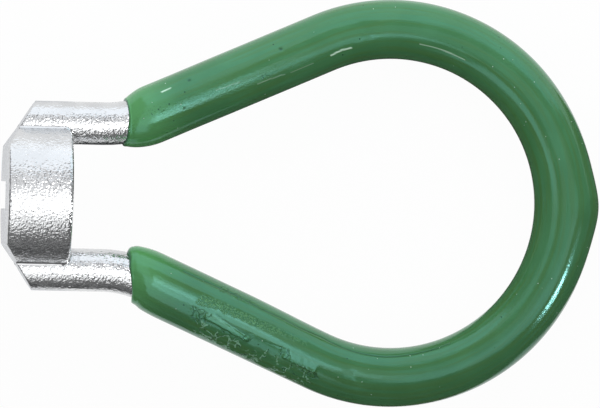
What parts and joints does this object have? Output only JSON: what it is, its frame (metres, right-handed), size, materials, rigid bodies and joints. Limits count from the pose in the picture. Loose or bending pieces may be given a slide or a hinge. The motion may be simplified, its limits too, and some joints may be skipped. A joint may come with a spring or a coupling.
{
  "type": "spoke wrench",
  "caption": "Loop-handled spoke wrench: a round slotted steel jaw brazed between the ends of a bent rod loop that is dipped in green vinyl, for turning spoke nipples.",
  "frame": {"origin": "the nipple's axis at the middle of the barrel's length, in the plane of the loop", "axes": "+X along the nipple's axis from the jaw towards the far end of the loop, +Y across the loop, +Z out of the closed side of the jaw, so the slot opens towards -Z"},
  "size_m": [0.0748, 0.0512, 0.0176],
  "materials": {
    "plated_steel": "bright plating over a shot-blasted steel surface",
    "plated_braze": "braze filler under the same plating, smoother than the steel",
    "green_vinyl": "glossy dipped vinyl, lightly scuffed"
  },
  "bodies": {
    "root": {"jaw_head": "plated_steel", "loop_rod": "plated_steel", "upper_braze": "plated_braze", "lower_braze": "plated_braze", "vinyl_grip": "green_vinyl"}
  },
  "joints": []
}
